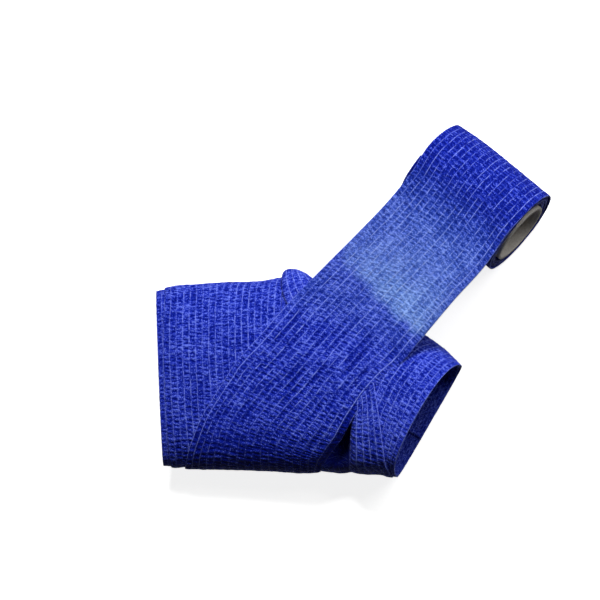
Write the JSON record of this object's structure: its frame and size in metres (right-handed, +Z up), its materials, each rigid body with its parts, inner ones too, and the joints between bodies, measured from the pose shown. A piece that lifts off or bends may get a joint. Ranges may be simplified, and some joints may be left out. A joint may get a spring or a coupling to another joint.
{
  "type": "cohesive bandage roll",
  "caption": "Blue cohesive bandage, partly unwound: a roll on a paperboard core, a free run, and a hollow wrap that keeps the form of a palm and wrist, with a thumb hole.",
  "frame": {"origin": "centre of the part's footprint on the surface that it lies on", "axes": "+X from the wrap's finger mouth towards the roll, +Y from the little-finger border to the thumb side, +Z up from the surface, out of the back of the wrap"},
  "size_m": [0.1945, 0.1694, 0.0453],
  "materials": {
    "bandage cloth": "matte crepe, royal blue, with fine elastic ribs along its length and irregular crimps across them",
    "paperboard": "matte light grey"
  },
  "bodies": {
    "root": {"hand_wrap": "bandage cloth", "loose_band": "bandage cloth", "winding": "bandage cloth", "core": "paperboard"}
  },
  "joints": []
}
